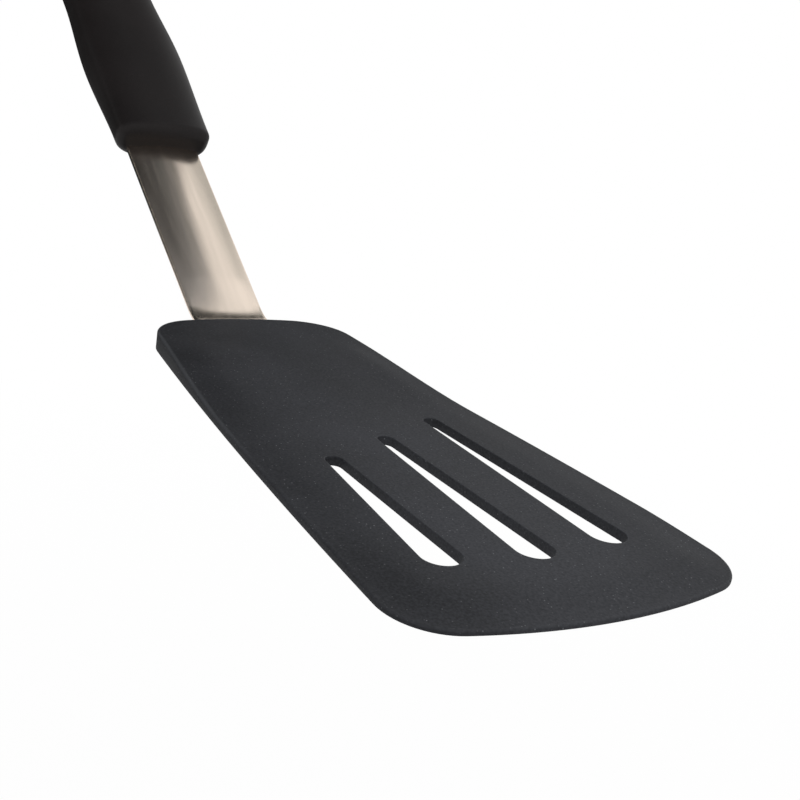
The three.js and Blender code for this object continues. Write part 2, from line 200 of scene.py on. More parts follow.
def fill_between(loops: list[Points], spacing: float) -> tuple[Points, Faces]:
    """Triangulate the area inside the first loop and outside the others.

    The loops' own chords are kept, and points on a triangular lattice fill the area between them.

    Args:
        loops: The outer loop, then the holes.
        spacing: Distance between lattice points.

    Returns:
        The points and the triangles.
    """
    border = np.vstack(loops)
    sizes = [len(loop) for loop in loops]
    starts = np.cumsum([0, *sizes[:-1]])
    rounds = [np.stack([np.arange(size), (np.arange(size) + 1) % size], axis=1) for size in sizes]
    chords = [start + ends for start, ends in zip(starts, rounds)]
    low, high = border.min(axis=0), border.max(axis=0)
    rise = spacing * math.sqrt(3.0) / 2.0
    column, row = np.meshgrid(np.arange(low[0], high[0], spacing), np.arange(low[1], high[1], rise))
    column = column + spacing / 2.0 * (np.arange(len(row)) % 2)[:, None]
    lattice = np.stack([column.ravel(), row.ravel()], axis=1)
    lattice = lattice[inside(loops, lattice)]
    clear = np.min([nearest_on(loop, lattice)[0] for loop in loops], axis=0)
    places = np.vstack([border, lattice[clear > LATTICE_GAP * spacing]])
    found = delaunay_2d_cdt(places.tolist(), np.vstack(chords).tolist(), [], 0, HAIR)
    points = np.array(found[0], dtype=float)
    triangles = np.array(found[2], dtype=np.int64)
    return points, triangles[inside(loops, points[triangles].mean(axis=1))]


def add_object(name: str, data: Any) -> Piece:
    """Put a mesh, a lamp or a lens into the scene.

    Args:
        name: The object's name.
        data: What it shows or holds.

    Returns:
        The object.
    """
    added = bpy.data.objects.new(name, data)
    bpy.context.scene.collection.objects.link(added)
    return added


class Patchwork:
    """Surfaces that meet edge to edge, sewn into one closed mesh."""

    def __init__(self) -> None:
        """Start with no surface."""
        self.points: list[Points] = []
        self.faces: list[list[int]] = []
        self.chart: list[Points] = []
        self.charted = False
        self.count = 0

    def add_faces(self, points: Points, faces: Faces, chart: Points | None = None) -> None:
        """Add points and the faces between them.

        Args:
            points: One point per row, in millimetres.
            faces: One face per row, as indices into points.
            chart: A flat coordinate for every corner of every face, or nothing.
        """
        self.points.append(points)
        self.faces.extend((faces + self.count).tolist())
        self.chart.append(np.zeros((faces.size, 2)) if chart is None else chart.reshape(-1, 2))
        self.charted = self.charted or chart is not None
        self.count += len(points)

    def add_band(self, rows: Points, chart: Points | None = None, keep: Mask | None = None) -> None:
        """Add rings joined row to row, each ring closed on itself.

        Args:
            rows: Points by row and place round the ring.
            chart: Flat coordinates by row and place, with the first place repeated at the end.
            keep: Which four-sided faces to keep, by row and place. All of them if left out.
        """
        depth, width = rows.shape[:2]
        index = np.arange(depth * width).reshape(depth, width)
        wrapped = np.hstack([index, index[:, :1]])
        chosen = np.ones((depth - 1, width), dtype=bool) if keep is None else keep
        self.add_faces(
            rows.reshape(-1, 3),
            self.corners(wrapped)[chosen],
            None if chart is None else self.corners(chart)[chosen],
        )

    @staticmethod
    def corners(grid: NDArray[Any]) -> NDArray[Any]:
        """Gather the four corners of every cell of a grid, going round the cell."""
        return np.stack([grid[:-1, :-1], grid[:-1, 1:], grid[1:, 1:], grid[1:, :-1]], axis=2)

    def add_cap(self, ring: Points) -> None:
        """Close a flat ring with one face."""
        self.add_faces(ring, np.arange(len(ring))[None])

    def to_object(self, name: str) -> Piece:
        """Weld the surfaces, turn their faces outwards and make an object of them.

        Args:
            name: The piece's name.

        Returns:
            The object, at the origin, shaded smooth.
        """
        mesh = bpy.data.meshes.new(name)
        mesh.from_pydata((np.vstack(self.points) * MM).tolist(), [], self.faces)
        if self.charted:
            layer = mesh.uv_layers.new(name=CHART)
            layer.data.foreach_set("uv", np.vstack(self.chart).astype(np.float32).ravel())
        sewn = bmesh.new()
        sewn.from_mesh(mesh)
        bmesh.ops.remove_doubles(sewn, verts=sewn.verts, dist=WELD)
        bmesh.ops.recalc_face_normals(sewn, faces=sewn.faces)
        sewn.to_mesh(mesh)
        sewn.free()
        mesh.shade_smooth()
        return add_object(name, mesh)


# Finishes


def linear(code: str) -> tuple[float, float, float, float]:
    """Turn an sRGB hex colour into linear light: a straight foot, then the power 2.4.

    Args:
        code: The colour, as #rrggbb.

    Returns:
        Red, green, blue and full opacity.
    """
    shares = np.array([int(code[at:at + 2], 16) for at in (1, 3, 5)]) / 255.0
    red, green, blue = np.where(shares <= 0.04045, shares / 12.92, ((shares + 0.055) / 1.055) ** 2.4)
    return float(red), float(green), float(blue), 1.0


def per_mm(size: float) -> float:
    """Texture scale that gives a pattern of a real size in millimetres, on coordinates in metres."""
    return 1.0 / (size * MM)


class Shading:
    """The node tree of a material or of the world, built up node by node."""

    def __init__(self, owner: Any) -> None:
        """Empty the owner's tree.

        Args:
            owner: A material or a world.
        """
        self.owner = owner
        self.owner.use_nodes = True
        self.tree = owner.node_tree
        self.tree.nodes.clear()

    @classmethod
    def of_material(cls, name: str) -> Shading:
        """Start a new material."""
        return cls(bpy.data.materials.new(name))

    def node(self, kind: str, inputs: dict[Any, Any] | None = None, **settings: Any) -> Any:
        """Add a node with its settings and inputs.

        Args:
            kind: The node's type, without its usual first part.
            inputs: By input socket: another node's socket, a hex colour or a value.
            **settings: The node's own options.

        Returns:
            The node's output sockets.
        """
        node = self.tree.nodes.new(f"ShaderNode{kind}")
        for name, value in settings.items():
            setattr(node, name, value)
        for socket, value in (inputs or {}).items():
            if isinstance(value, Socket):
                self.tree.links.new(value, node.inputs[socket])
            else:
                node.inputs[socket].default_value = linear(value) if isinstance(value, str) else value
        return node.outputs


@dataclass(frozen=True)
class MouldedRubber:
    """Filled elastomer from a fine-blasted mould: matte, finely grained, and it holds a little dust."""

    name: str
    body: str  # colour in the hollows of its grain
    bloom: str  # paler colour on the crests
    dust: str
    dust_amount: float  # how strongly the clearest specks cover the skin
    roughness: Span
    gloss: float  # specular level; 0.5 is a polished surface of this index
    edge_highlight: str | None = None  # painted highlight: paler colour along the rounded edges, where the piece's chart marks them
    edge_highlight_amount: float = 0.3
    painted_light_along: Span | None = None  # painted light: from the end where the skin is drawn darkest to the one drawn palest
    painted_light_across: Span = (32.0, 6.0)  # painted light: from the darker sides to the paler middle
    painted_light_levels: Span = (0.83, 1.13)  # brightness of that painted light, at its darkest and its palest
    index: float = 1.41  # refractive index of silicone, and near that of soft elastomers
    mottle_size: float = 28.0
    grain_size: float = 0.5  # real mould grain is near 0.1 mm; drawn coarser, or it wouldn't show
    grain_share: float = 0.55  # of the grain in the colour; the rest is the soft mottling
    grain_span: Span = (0.36, 0.64)  # of both noises together, drawn out from hollow to crest
    grain_depth: float = 0.012
    dust_pitch: float = 0.8  # one speck, before some are dropped, in a cube of this side
    dust_reach: float = 0.2  # a speck's radius, as a share of the pitch
    dust_core: float = 1.0 / 3.0  # share of that radius over which a speck doesn't thin
    dust_rarity: float = 0.35  # share of the specks that are dropped
    settle_span: Span = (0.3, 0.6)  # of the mottling, over which dust settles more
    settle_share: Span = (0.25, 1.0)  # least and most of it

    def make(self) -> Material:
        """Build the material: mottled, grained colour with painted light and edge highlights, dust, a fine
        bump.

        Returns:
            The material.
        """
        paint = Shading.of_material(self.name)
        place = paint.node("TexCoord")["Object"]
        mottle = paint.node("TexNoise", {
            "Vector": place, "Scale": per_mm(self.mottle_size), "Detail": SOFT_DETAIL,
        })["Fac"]
        grain = paint.node("TexNoise", {
            "Vector": place, "Scale": per_mm(self.grain_size), "Detail": PLAIN_DETAIL,
        })["Fac"]
        shares = {"Factor": self.grain_share, "A": mottle, "B": grain}
        both = paint.node("Mix", shares, data_type="FLOAT")[0]
        hollow, crest = self.grain_span
        spread = paint.node("MapRange", {"Value": both, "From Min": hollow, "From Max": crest})[0]
        colour = paint.node("MixRGB", {"Fac": spread, "Color1": self.body, "Color2": self.bloom})[0]
        if self.painted_light_along is not None:
            colour = self.add_painted_light(paint, place, colour)
        colour = self.add_dust(paint, place, mottle, colour)
        if self.edge_highlight is not None:
            colour = self.add_edge_highlight(paint, colour)
        low, high = NOISE_SPAN
        smooth, rough = self.roughness
        sheen = paint.node("MapRange", {
            "Value": mottle, "From Min": low, "From Max": high, "To Min": smooth, "To Max": rough,
        })[0]
        shader = paint.node("BsdfPrincipled", {
            "IOR": self.index,
            "Specular IOR Level": self.gloss,
            "Base Color": colour,
            "Roughness": sheen,
            "Normal": paint.node("Bump", {"Distance": self.grain_depth * MM, "Height": grain})[0],
        })[0]
        paint.node("OutputMaterial", {"Surface": shader})
        return paint.owner

    def add_dust(self, paint: Shading, place: Socket, mottle: Socket, skin: Socket) -> Socket:
        """Lay specks of dust near the centres of some cells, more of them where the mottling is high.

        Args:
            paint: The material's tree.
            place: The coordinates.
            mottle: The mottling.
            skin: The colour without dust.

        Returns:
            The colour with dust.
        """
        cells = paint.node("TexVoronoi", {"Vector": place, "Scale": per_mm(self.dust_pitch)})
        lot = paint.node("SeparateColor", {"Color": cells["Color"]})["Red"]
        near = paint.node("MapRange", {
            "Value": cells["Distance"],
            "From Min": self.dust_reach,
            "From Max": self.dust_reach * self.dust_core,
        })[0]
        chosen = paint.node("MapRange", {
            "Value": lot, "From Min": self.dust_rarity, "To Max": self.dust_amount,
        })[0]
        low, high = self.settle_span
        least, most = self.settle_share
        settled = paint.node("MapRange", {
            "Value": mottle, "From Min": low, "From Max": high, "To Min": least, "To Max": most,
        })[0]
        speck = paint.node("Math", {0: near, 1: chosen}, operation="MULTIPLY")[0]
        share = paint.node("Math", {0: speck, 1: settled}, operation="MULTIPLY")[0]
        return paint.node("MixRGB", {"Fac": share, "Color1": skin, "Color2": self.dust})[0]

    def add_painted_light(self, paint: Shading, place: Socket, skin: Socket) -> Socket:
        """Make the skin paler towards one end and the middle: painted light.

        Args:
            paint: The material's tree.
            place: The coordinates.
            skin: The colour without the painted light.

        Returns:
            The colour with the painted light.
        """
        spot = paint.node("SeparateXYZ", {0: place})
        aside = paint.node("Math", {0: spot["Y"]}, operation="ABSOLUTE")[0]
        least, most = self.painted_light_levels
        for distance, (start, end) in ((spot["X"], self.painted_light_along), (aside, self.painted_light_across)):
            reach = {"From Min": start * MM, "From Max": end * MM, "To Min": least, "To Max": most}
            inputs = {"Value": distance, **reach}
            shade = paint.node("MapRange", inputs, interpolation_type="SMOOTHSTEP")[0]
            layers = {"Fac": 1.0, "Color1": skin, "Color2": shade}
            skin = paint.node("MixRGB", layers, blend_type="MULTIPLY")[0]
        return skin

    def add_edge_highlight(self, paint: Shading, skin: Socket) -> Socket:
        """Paint a highlight on the edges that the chart's first coordinate marks, making them paler.

        Args:
            paint: The material's tree.
            skin: The colour without the painted highlight.

        Returns:
            The colour with the painted highlight.
        """
        chart = paint.node("UVMap", uv_map=CHART)["UV"]
        marked = paint.node("SeparateXYZ", {0: chart})["X"]
        highlit = paint.node("MapRange", {"Value": marked, "To Max": self.edge_highlight_amount})[0]
        return paint.node("MixRGB", {"Fac": highlit, "Color1": skin, "Color2": self.edge_highlight})[0]


@dataclass(frozen=True)
class BrushedSteel:
    """Stainless strip with a satin finish brushed lengthwise, streaked where it has been wiped."""

    name: str
    light: str  # colour on the lines' crests
    dark: str  # colour in the lines
    length: float  # of the charted strip
    girth: float  # round the charted strip
    line_length: float = 24.0
    line_width: float = 0.16  # real brush lines are near 0.05 mm; drawn coarser, or they wouldn't show
    line_depth: float = 0.0001
    cloud_length: float = 34.0
    cloud_width: float = 2.4
    roughness: Span = (0.17, 0.25)

    def make(self) -> Material:
        """Build the material: noise drawn out along the strip for colour and bump, clouds for sheen.

        Returns:
            The material.
        """
        paint = Shading.of_material(self.name)
        lines = self.add_streaks(paint, self.line_length, self.line_width)
        clouds = self.add_streaks(paint, self.cloud_length, self.cloud_width)
        colour = paint.node("MixRGB", {"Fac": lines, "Color1": self.dark, "Color2": self.light})[0]
        low, high = NOISE_SPAN
        smooth, rough = self.roughness
        sheen = paint.node("MapRange", {
            "Value": clouds, "From Min": low, "From Max": high, "To Min": smooth, "To Max": rough,
        })[0]
        shader = paint.node("BsdfPrincipled", {
            "Metallic": 1.0,
            "Base Color": colour,
            "Roughness": sheen,
            "Normal": paint.node("Bump", {"Distance": self.line_depth * MM, "Height": lines})[0],
        })[0]
        paint.node("OutputMaterial", {"Surface": shader})
        return paint.owner

    def add_streaks(self, paint: Shading, length: float, width: float) -> Socket:
        """Add noise drawn out along the strip, whose chart is one unit long and one unit round.

        Args:
            paint: The material's tree.
            length: Length of a streak.
            width: Width of a streak.

        Returns:
            The noise.
        """
        chart = paint.node("UVMap", uv_map=CHART)["UV"]
        stretch = (self.length / length, self.girth / width, 1.0)
        drawn = paint.node("Mapping", {"Vector": chart, "Scale": stretch})[0]
        return paint.node("TexNoise", {"Vector": drawn, "Scale": 1.0, "Detail": SOFT_DETAIL})["Fac"]


@dataclass(frozen=True)
class InnerStock:
    """Plain stock that the outer pieces cover: rolled sheet or moulded plastic, faintly clouded."""

    name: str
    light: str
    dark: str
    metallic: float
    roughness: float
    cloud_size: float = 6.0

    def make(self) -> Material:
        """Build the material: one soft noise between two near colours.

        Returns:
            The material.
        """
        paint = Shading.of_material(self.name)
        place = paint.node("TexCoord")["Object"]
        cloud = paint.node("TexNoise", {
            "Vector": place, "Scale": per_mm(self.cloud_size), "Detail": PLAIN_DETAIL,
        })["Fac"]
        colour = paint.node("MixRGB", {"Fac": cloud, "Color1": self.dark, "Color2": self.light})[0]
        shader = paint.node("BsdfPrincipled", {
            "Metallic": self.metallic, "Roughness": self.roughness, "Base Color": colour,
        })[0]
        paint.node("OutputMaterial", {"Surface": shader})
        return paint.owner


def dress(piece: Piece, material: Material) -> None:
    """Give a piece one finish all over."""
    piece.data.materials.clear()
    piece.data.materials.append(material)


def take_place(piece: Piece, node: str, material: Material) -> None:
    """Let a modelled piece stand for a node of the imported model, and dress it.

    Args:
        piece: The modelled piece.
        node: The node it replaces.
        material: Its finish.
    """
    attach(piece, BODY)
    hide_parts(node)
    dress(piece, material)
    LOG.info("%s: %d faces", piece.name, len(piece.data.polygons))


# Blade


class SlotPlace(Enum):
    """The three slots, by their place across the blade."""

    RIGHT = -1
    MIDDLE = 0
    LEFT = 1


@dataclass(frozen=True)
class SiliconeBlade:
    """The slotted silicone head, flat below, thick over the neck's foot and thin at its edges.

    Places are measured from the back edge, along the centre line and to the left of it.
    """

    back: float  # the back edge in the tool's frame
    length: float
    heel: float  # height over the neck's foot
    shoulder_width: float = 49.4
    front_width: float = 74.1
    side_bow: float = 1.85
    front_radius: float = 115.0
    front_corner: float = 12.2
    back_radius: float = 97.0
    back_corner: float = 14.5
    side_rim: float = 1.6
    lip: float = 0.95
    web: float = 2.1
    side_bevel: float = 9.0
    lip_bevel: float = 12.0
    heel_length: float = 26.3
    heel_fade: float = 38.0
    rim_fade: Span = (6.0, 66.0)  # from the back edge, where the side edges thin
    slot_back_radius: float = 1.9
    slot_front_radius: float = 3.9
    slot_length: float = 50.8
    slot_stagger: float = 8.4
    slot_lip: float = 22.25
    slot_band: float = 13.9
    slot_pitch: float = 16.8
    slot_shift: float = -0.5  # of the three together, to the left
    under_round: float = 0.1  # rounding of the lower edges
    rim_round: float = 0.45  # rounding of the outline's upper edge
    side_round: float = 0.7  # the same along the sides, at most
    side_round_share: float = 0.4  # and at most this share of the edge's height
    side_start: Span = (5.0, 20.0)  # where that rounding grows, from the back edge
    side_end: Span = (105.0, 140.0)  # where it shrinks again
    front_highlight: float = 0.35  # strength of the painted edge highlight at the front, next to the back
    highlight_fade: Span = (58.0, 95.0)  # where that painted highlight fades
    slot_round: float = 0.2  # rounding of the slots' upper edges
    slot_highlight: float = 0.4  # strength of the painted highlight on the slots' edges, next to the outline's
    outline_step: float = 1.1
    slot_step: float = 0.55
    web_step: float = 2.4
    flat_step: float = 9.6  # of the underside
    inner_rows: Span = (0.25, 0.8)  # rows of points past the upper rounding, where the web starts
    under_row: float = 0.4  # the same past the lower one
    arc_steps: int = 40
    side_steps: int = 160
    edge_steps: int = 6
    halvings: int = 40  # in the search for a corner's place
    finish: MouldedRubber = MouldedRubber(
        name="charcoal_silicone_moulded_matte",
        # painted light makes the skin paler towards the front and the middle; the pale edge colour is a
        # painted highlight
        body="#28292c", bloom="#3a3b3f", dust="#a2a4a8", dust_amount=0.55, edge_highlight="#707276",
        painted_light_along=(-36.0, 100.0), roughness=(0.55, 0.65), gloss=0.16,
    )

    def half_width(self, along: Any) -> Any:
        """Half the width: a straight taper from shoulder to front, plus a parabola's bow.

        Args:
            along: Distances from the back edge.

        Returns:
            The half widths.
        """
        share = along / self.length
        taper = lerp(self.shoulder_width, self.front_width, share) / 2.0
        return taper + 4.0 * self.side_bow * share * (1.0 - share)

    def side_slope(self, along: Any) -> Any:
        """The half width's change per millimetre: the taper's own, plus the parabola's slope.

        Args:
            along: Distances from the back edge.

        Returns:
            The slopes.
        """
        share = along / self.length
        rise = (self.front_width - self.shoulder_width) / 2.0
        return (rise + 4.0 * self.side_bow * (1.0 - 2.0 * share)) / self.length

    def corner_centre(self, along: float, radius: float) -> Points:
        """Centre of a corner arc that touches the left side line: a radius inside it, square to it.

        Args:
            along: Where it touches, from the back edge.
            radius: The arc's radius.

        Returns:
            The centre.
        """
        slope = self.side_slope(along)
        square = np.array([slope, -1.0]) / math.hypot(slope, 1.0)
        return np.array([along, self.half_width(along)]) + radius * square

    def corner_touch(self, end: float, radius: float, centre: float, reach: float) -> float:
        """Find where a corner arc leaves the side line so that it also touches the end arc.

        The range between the blade's end and its middle is halved until the corner's centre lies at the
        end arc's radius less the corner's own.

        Args:
            end: The end of the blade that the corner is on.
            radius: The corner's radius.
            centre: The end arc's centre, on the centre line.
            reach: The end arc's radius.

        Returns:
            The place along the side.
        """
        outer, inner = end, self.length / 2.0
        for _ in range(self.halvings):
            middle = (outer + inner) / 2.0
            gap = np.linalg.norm(self.corner_centre(middle, radius) - (centre, 0.0))
            outer, inner = (middle, inner) if gap > reach - radius else (outer, middle)
        return inner

    def outline(self) -> Points:
        """Draw the outline anticlockwise: front arc, corner, side, back corner, back arc, and its mirror.

        Returns:
            Evenly spaced points, starting at the front edge's crest.
        """
        front_centre = self.length - self.front_radius
        front_x = self.corner_touch(self.length, self.front_corner, front_centre, self.front_radius)
        back_x = self.corner_touch(0.0, self.back_corner, self.back_radius, self.back_radius)
        toe = self.corner_centre(front_x, self.front_corner)
        heel = self.corner_centre(back_x, self.back_corner)
        toe_turn = math.atan2(toe[1], toe[0] - front_centre)
        toe_end = QUARTER + math.atan(self.side_slope(front_x))
        heel_start = QUARTER + math.atan(self.side_slope(back_x))
        heel_turn = math.atan2(heel[1], heel[0] - self.back_radius)
        side = np.linspace(front_x, back_x, self.side_steps)
        half = np.vstack([
            arc((front_centre, 0.0), self.front_radius, 0.0, toe_turn, self.arc_steps),
            arc(toe, self.front_corner, toe_turn, toe_end, self.arc_steps),
            np.stack([side, self.half_width(side)], axis=1),
            arc(heel, self.back_corner, heel_start, heel_turn, self.arc_steps),
            arc((self.back_radius, 0.0), self.back_radius, heel_turn, math.pi, self.arc_steps),
        ])
        return even_loop(np.vstack([half, half[-2:0:-1] * (1.0, -1.0)]), self.outline_step)

    def slot_loop(self, slot: SlotPlace) -> Points:
        """Draw a slot anticlockwise: two end arcs joined by tangents, the front one set by the front edge.

        Args:
            slot: Which slot.

        Returns:
            Evenly spaced points.
        """
        crest = self.length - self.slot_lip
        reach = self.front_radius - self.slot_lip
        front_y = slot.value * (self.half_width(crest) - self.slot_band - self.slot_front_radius)
        front_x = crest - reach + math.sqrt(reach ** 2 - front_y ** 2)
        front = np.array([front_x, front_y + self.slot_shift])
        back_x = crest - self.slot_length - slot.value * self.slot_stagger
        back = np.array([back_x, slot.value * self.slot_pitch + self.slot_shift])
        axis = front - back
        turn = math.atan2(axis[1], axis[0])
        tangent = math.acos((self.slot_back_radius - self.slot_front_radius) / np.linalg.norm(axis))
        nose = arc(front, self.slot_front_radius, turn - tangent, turn + tangent, self.arc_steps)
        tail = arc(back, self.slot_back_radius, turn + tangent, turn - tangent + math.tau, self.arc_steps)
        return even_loop(np.vstack([nose, tail]), self.slot_step)

    def rim(self, along: Points) -> tuple[Points, Points]:
        """Height of the outline's edge, and the width of the slope inside it.

        The height falls by a smooth step from the heel's to the side edges', and by another to the
        front lip's. The width grows by that second step.

        Args:
            along: Distances from the back edge.

        Returns:
            The heights and the widths.
        """
        lip_start = self.length - self.slot_lip - self.lip_bevel
        to_lip = smoothstep(along, lip_start, self.length - self.front_corner / 2.0)
        side = lerp(self.heel, self.side_rim, smoothstep(along, *self.rim_fade))
        return lerp(side, self.lip, to_lip), lerp(self.side_bevel, self.lip_bevel, to_lip)

    def top_height(self, outline: Points, places: Points) -> Points:
        """Height of the top: from the rim it climbs a smooth step, as wide as the bevel, to the crest.

        Args:
            outline: The blade's outline.
            places: Where to measure, one place per row.

        Returns:
            One height per place.
        """
        depth, edge = nearest_on(outline, places)
        rim, bevel = self.rim(edge[:, 0])
        to_web = smoothstep(places[:, 0], self.heel_length, self.heel_length + self.heel_fade)
        crest = lerp(self.heel, self.web, to_web)
        return lerp(rim, crest, smoothstep(depth / bevel, 0.0, 1.0))

    def rim_rounding(self, outline: Points) -> Points:
        """Rounding of the outline's upper edge: larger along the sides, by a smooth step at each end.

        Args:
            outline: The blade's outline.

        Returns:
            One radius per point.
        """
        along = outline[:, 0]
        side = np.minimum(self.side_round, self.side_round_share * self.rim(along)[0])
        beside = smoothstep(along, *self.side_start) * (1.0 - smoothstep(along, *self.side_end))
        return lerp(self.rim_round, side, beside)

    def rim_highlight(self, outline: Points) -> Points:
        """Painted highlight on the outline's edge: less in front by a smooth step, first point repeated."""
        highlight_share = lerp(1.0, self.front_highlight, smoothstep(outline[:, 0], *self.highlight_fade))
        return np.append(highlight_share, highlight_share[0])

    def edge_band(self, outline: Points, loop: Points, into: Points, radius: Points | float) -> Points:
        """Carry the edge's profile round a loop: under, round the lower edge, up, over the top and in.

        A quarter circle of radius r stands off the wall by r(1 - cos) and drops below the top by
        r(1 - sin); the lower one is the same upside down.

        Args:
            outline: The blade's outline.
            loop: The wall's line, seen from above.
            into: Unit vectors from the wall into the silicone.
            radius: Rounding of the upper edge.

        Returns:
            Points by row and place round the loop.
        """
        turn = np.linspace(0.0, QUARTER, self.edge_steps + 1)[:, None]
        level = np.ones(len(loop))
        under = self.under_round * (1.0 - np.sin(turn)) * level
        over = radius * (1.0 - np.cos(turn)) * level
        inner = (radius + np.array(self.inner_rows)[:, None]) * level
        offset = np.vstack([under[:1] + self.under_row, under, over, inner])
        places = loop + into * offset[..., None]
        height = self.top_height(outline, places.reshape(-1, 2)).reshape(offset.shape)
        first_over = len(under) + 1
        height[0] = 0.0
        height[1:first_over] = self.under_round * (1.0 - np.cos(turn)) * level
        height[first_over:first_over + len(over)] -= radius * (1.0 - np.sin(turn))
        return np.concatenate([places, height[..., None]], axis=2)

    def highlight_chart(self, band: Points, highlight_share: Points | float) -> Points:
        """Mark the painted highlight on a band's upper rounding: half a sine wave, in the first coordinate.

        Args:
            band: The edge's band.
            highlight_share: Height of the wave, for all or by place round the band.

        Returns:
            Flat coordinates by row and place, with the first place repeated at the end.
        """
        rows = len(band)
        last = rows - 2
        first = last - self.edge_steps - 1
        share = np.clip((np.arange(rows) - first) / (last - first), 0.0, 1.0)
        mark = np.zeros((rows, band.shape[1] + 1, 2))
        mark[..., 0] = np.sin(np.pi * share)[:, None] * highlight_share
        return mark

    def build(self) -> None:
        """Model the head: an edge band round the outline and each slot, a web above, a flat face below."""
        outline = self.outline()
        bands = [self.edge_band(outline, outline, left_normals(outline), self.rim_rounding(outline))]
        for slot in SlotPlace:
            loop = self.slot_loop(slot)
            bands.append(self.edge_band(outline, loop, -left_normals(loop), self.slot_round))
        sheet = Patchwork()
        shift = np.array([self.back, 0.0, 0.0])
        for number, band in enumerate(bands):
            # painted highlight: its strength on the outline's and the slots' upper roundings
            highlight_share = self.slot_highlight if number else self.rim_highlight(outline)
            sheet.add_band(band + shift, self.highlight_chart(band, highlight_share))
        top, top_faces = fill_between([band[-1, :, :2] for band in bands], self.web_step)
        sheet.add_faces(np.column_stack([top, self.top_height(outline, top)]) + shift, top_faces)
        flat, flat_faces = fill_between([band[0, :, :2] for band in bands], self.flat_step)
        sheet.add_faces(np.column_stack([flat, np.zeros(len(flat))]) + shift, flat_faces)
        piece = sheet.to_object("blade_silicone")
        take_place(piece, "silicone_blade", self.finish.make())


# Neck


@dataclass(frozen=True)
class NeckStrap:
    """The crowned steel strap: a flat foot in the blade, a bend, a straight rise and a tang in the handle.

    Distances run along the strap from the blade's back edge, towards the handle.
    """

    back: float  # the blade's back edge in the tool's frame
    level: float = 2.25  # height of the foot's middle
    thickness: float = 1.5
    foot_width: float = 20.6
    top_width: float = 21.9
    length: float = 74.2  # in sight
    rise: float = math.radians(29.6)
    lead: float = -0.906  # the bend starts inside the blade
    bend_radius: float = 20.0
    crown: float = 1.0
    crown_start: float = 2.0
    crown_grow: float = 18.0
    foot_length: float = 26.0
    tang_length: float = 74.0
    tang_width: float = 14.0
    tang_taper: float = 8.0
    edge_round: float = 0.42
    light: str = "#f0e1d2"  # colours of the brushed steel
    dark: str = "#e9dacb"
    across_steps: int = 28
    corner_steps: int = 5
    station_counts: tuple[int, ...] = (8, 36, 24, 40, 10, 8)  # from the foot's end to the tang's

    def path(self, distance: Any) -> tuple[Any, Any, Any]:
        """Follow the strap's middle line: straight lead, circular bend, straight rise.

        Args:
            distance: Distances along the strap.

        Returns:
            Place along X and Z in the tool's frame, and the turn from level.
        """
        turn = np.clip((distance - self.lead) / self.bend_radius, 0.0, self.rise)
        risen = np.maximum(distance - self.lead - self.bend_radius * self.rise, 0.0)
        run = np.minimum(distance, self.lead) + self.bend_radius * np.sin(turn) + risen * np.cos(turn)
        height = self.level + self.bend_radius * (1.0 - np.cos(turn)) + risen * np.sin(turn)
        return self.back - run, height, turn

    def half_width(self, distance: Points) -> Points:
        """Half the strap's width: a slight taper in sight, then a smooth step down to the tang.

        Args:
            distance: Distances along the strap.

        Returns:
            The half widths.
        """
        seen = lerp(self.foot_width, self.top_width, np.clip(distance / self.length, 0.0, 1.0))
        tang = smoothstep(distance, self.length, self.length + self.tang_taper)
        return lerp(seen, self.tang_width, tang) / 2.0

    def section(self) -> tuple[Points, Points, Points]:
        """Go round a strip with rounded edges, as shares of its flat half width plus fixed offsets.

        Returns:
            The share of the flat half width, the offset across it and the offset above its middle.
        """
        flat = np.linspace(1.0, -1.0, self.across_steps)
        turn = np.linspace(QUARTER, -QUARTER, 2 * self.corner_steps)
        half = self.thickness / 2.0
        straight = half - self.edge_round
        corner_out = self.edge_round * np.cos(turn)
        corner_up = self.edge_round * np.sin(turn) + np.sign(turn) * straight
        level = np.ones_like(flat)
        side = np.ones_like(turn)
        share = np.concatenate([flat, -side, -flat, side])
        out = np.concatenate([0.0 * flat, -corner_out, 0.0 * flat, corner_out])
        up = np.concatenate([half * level, corner_up, -half * level, corner_up[::-1]])
        return share, out, up

    def stations(self) -> Points:
        """Space the cross sections out, closer in the bend and where the crown grows.

        Returns:
            Their distances.
        """
        bend_end = self.lead + self.bend_radius * self.rise
        crowned = self.crown_start + self.crown_grow
        tang = self.length + self.tang_taper
        last = self.length + self.tang_length
        ends = (-self.foot_length, 0.0, bend_end, crowned, self.length, tang, last)
        runs = zip(ends[:-1], ends[1:], self.station_counts)
        marks = np.concatenate([np.linspace(start, end, count) for start, end, count in runs])
        return np.unique(np.round(marks, decimals=6))

    def build(self) -> None:
        """Model the strap: its section carried along the path, its middle bowed up by a parabola.

        The crown grows from nothing in the bend to its full rise, as a smooth step.
        """
        distance = self.stations()
        share, out, up = self.section()
        half = self.half_width(distance)[:, None]
        across = share * (half - self.edge_round) + out
        grown = smoothstep(distance, self.crown_start, self.crown_start + self.crown_grow)[:, None]
        crown = self.crown * grown
        lift = up + crown * (1.0 - (across / half) ** 2)
        x, z, turn = (value[:, None] for value in self.path(distance))
        rows = np.stack([x + lift * np.sin(turn), across, z + lift * np.cos(turn)], axis=2)
        ring = np.vstack([rows[0], rows[0, :1]])
        girth = np.concatenate([[0.0], np.cumsum(np.linalg.norm(np.diff(ring, axis=0), axis=1))])
        total = distance[-1] - distance[0]
        chart = np.stack(
            np.meshgrid((distance - distance[0]) / total, girth / girth[-1], indexing="ij"), axis=2)
        strip = Patchwork()
        strip.add_band(rows, chart)
        strip.add_cap(rows[0])
        strip.add_cap(rows[-1])
        finish = BrushedSteel(
            name="stainless_steel_brushed_lengthwise", light=self.light, dark=self.dark,
            length=float(total), girth=float(girth[-1]),
        )
        take_place(strip.to_object("neck_strap"), "neck", finish.make())


# Handle


